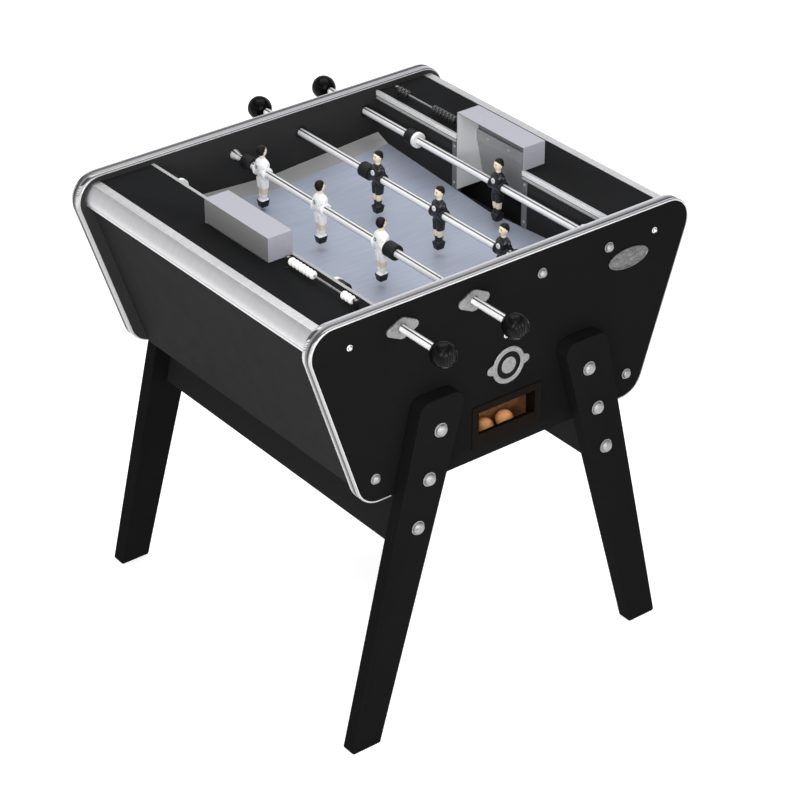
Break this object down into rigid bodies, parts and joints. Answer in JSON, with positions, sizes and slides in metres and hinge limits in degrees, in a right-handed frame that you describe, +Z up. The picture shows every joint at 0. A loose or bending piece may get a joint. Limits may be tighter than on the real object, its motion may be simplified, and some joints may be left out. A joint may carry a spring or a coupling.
{
  "type": "foosball table",
  "caption": "Two-player foosball table: black cabinet on splayed legs, telescopic chrome rods with keepers and attackers, sheet-metal goal boxes, ball window.",
  "frame": {"origin": "On the floor, under the middle of the table's overall box.", "axes": "+X runs from the white goal to the black goal, +Y from the side with the ball window to the far side, across the table and along the rods, +Z is up."},
  "size_m": [0.866, 1.023, 0.932],
  "materials": {
    "black_laminate": "satin black laminate on board",
    "charcoal_laminate": "satin charcoal laminate on board",
    "polished_trim": "bright polished metal",
    "brushed_rail": "brushed across its length",
    "grey_playfield": "satin blue-grey playing surface",
    "grey_ramp": "satin grey",
    "sheet_metal": "satin folded sheet",
    "raw_wood": "plain brown board",
    "frame_plastic": "matt black",
    "cork_ball": "matt orange cork",
    "cast_plate": "matt cast grey metal",
    "chrome": "polished chrome",
    "zinc_bolt": "satin zinc",
    "black_stand": "satin black",
    "white_bead": "gloss white",
    "black_bead": "gloss black",
    "white_nylon": "satin white nylon",
    "knob_black": "gloss black",
    "bumper_rubber": "matt black rubber",
    "white_kit": "painted white figure",
    "black_kit": "painted black figure"
  },
  "bodies": {
    "table": {"side_panel_near": "black_laminate", "side_panel_far": "black_laminate", "edge_trim_near": "polished_trim", "edge_trim_far": "polished_trim", "end_panel_left": "charcoal_laminate", "end_panel_right": "charcoal_laminate", "end_deck_left": "charcoal_laminate", "end_deck_right": "charcoal_laminate", "corner_rail_left": "brushed_rail", "corner_rail_right": "brushed_rail", "inner_rails": "polished_trim", "end_wall_left": "black_laminate", "end_wall_right": "black_laminate", "playfield": "grey_playfield", "side_ramps": "grey_ramp", "goal_box_left": "sheet_metal", "goal_box_right": "sheet_metal", "goal_flaps": "sheet_metal", "leg_near_left": "black_laminate", "leg_near_right": "black_laminate", "leg_far_left": "black_laminate", "leg_far_right": "black_laminate", "aprons": "black_laminate", "bottom_board": "raw_wood", "ball_return_board": "raw_wood", "ball_trough": "raw_wood", "ball_window_frame": "frame_plastic", "badge_plates": "cast_plate", "rod_flanges": "cast_plate", "rod_bushes": "frame_plastic", "inner_bars": "chrome", "domed_bolts": "zinc_bolt", "small_screws": "zinc_bolt", "score_stands": "black_stand"},
    "white_keeper_carrier": {"white_keeper_guide": "white_nylon"},
    "white_keeper_rod": {"white_keeper_tube": "chrome", "white_keeper_knob": "knob_black", "white_keeper_bumpers": "bumper_rubber", "white_keeper_man": "white_kit"},
    "white_attack_carrier": {"white_attack_guide": "white_nylon"},
    "white_attack_rod": {"white_attack_tube": "chrome", "white_attack_knob": "knob_black", "white_attack_bumpers": "bumper_rubber", "white_attack_men": "white_kit"},
    "black_attack_carrier": {"black_attack_guide": "white_nylon"},
    "black_attack_rod": {"black_attack_tube": "chrome", "black_attack_knob": "knob_black", "black_attack_bumpers": "bumper_rubber", "black_attack_men": "black_kit"},
    "black_keeper_carrier": {"black_keeper_guide": "white_nylon"},
    "black_keeper_rod": {"black_keeper_tube": "chrome", "black_keeper_knob": "knob_black", "black_keeper_bumpers": "bumper_rubber", "black_keeper_man": "black_kit"},
    "white_beads_unscored_row": {"white_beads_unscored": "white_bead"},
    "white_beads_scored_row": {"white_beads_scored": "white_bead"},
    "black_beads_unscored_row": {"black_beads_unscored": "black_bead"},
    "black_beads_scored_row": {"black_beads_scored": "black_bead"},
    "ball_left_body": {"ball_left": "cork_ball"},
    "ball_right_body": {"ball_right": "cork_ball"}
  },
  "joints": [
    {"name": "white_keeper_slide", "type": "slide", "parent": "table", "child": "white_keeper_carrier", "axis": [0, 1, 0], "range_m": [-0.1345, 0.0055]},
    {"name": "white_keeper_spin", "type": "hinge", "parent": "white_keeper_carrier", "child": "white_keeper_rod", "pos_m": [-0.23775, 0, 0.8492], "axis": [0, 1, 0], "continuous": true},
    {"name": "white_attack_slide", "type": "slide", "parent": "table", "child": "white_attack_carrier", "axis": [0, 1, 0], "range_m": [-0.191, 0.0195]},
    {"name": "white_attack_spin", "type": "hinge", "parent": "white_attack_carrier", "child": "white_attack_rod", "pos_m": [-0.07925, 0, 0.8492], "axis": [0, 1, 0], "continuous": true},
    {"name": "black_attack_slide", "type": "slide", "parent": "table", "child": "black_attack_carrier", "axis": [0, -1, 0], "range_m": [-0.1995, 0.011]},
    {"name": "black_attack_spin", "type": "hinge", "parent": "black_attack_carrier", "child": "black_attack_rod", "pos_m": [0.07925, 0, 0.8492], "axis": [0, -1, 0], "continuous": true},
    {"name": "black_keeper_slide", "type": "slide", "parent": "table", "child": "black_keeper_carrier", "axis": [0, -1, 0], "range_m": [-0.1385, 0.0015]},
    {"name": "black_keeper_spin", "type": "hinge", "parent": "black_keeper_carrier", "child": "black_keeper_rod", "pos_m": [0.23775, 0, 0.8492], "axis": [0, -1, 0], "continuous": true},
    {"name": "white_beads_unscored_slide", "type": "slide", "parent": "table", "child": "white_beads_unscored_row", "axis": [0, 1, 0], "range_m": [-0.04, 0]},
    {"name": "white_beads_scored_slide", "type": "slide", "parent": "table", "child": "white_beads_scored_row", "axis": [0, 1, 0], "range_m": [0, 0.04]},
    {"name": "black_beads_unscored_slide", "type": "slide", "parent": "table", "child": "black_beads_unscored_row", "axis": [0, 1, 0], "range_m": [0, 0.04]},
    {"name": "black_beads_scored_slide", "type": "slide", "parent": "table", "child": "black_beads_scored_row", "axis": [0, 1, 0], "range_m": [-0.04, 0]},
    {"name": "ball_left_roll", "type": "slide", "parent": "table", "child": "ball_left_body", "axis": [1, 0, 0], "range_m": [-0.06, 0.005]},
    {"name": "ball_right_roll", "type": "slide", "parent": "table", "child": "ball_right_body", "axis": [1, 0, 0], "range_m": [-0.006, 0.034]}
  ]
}
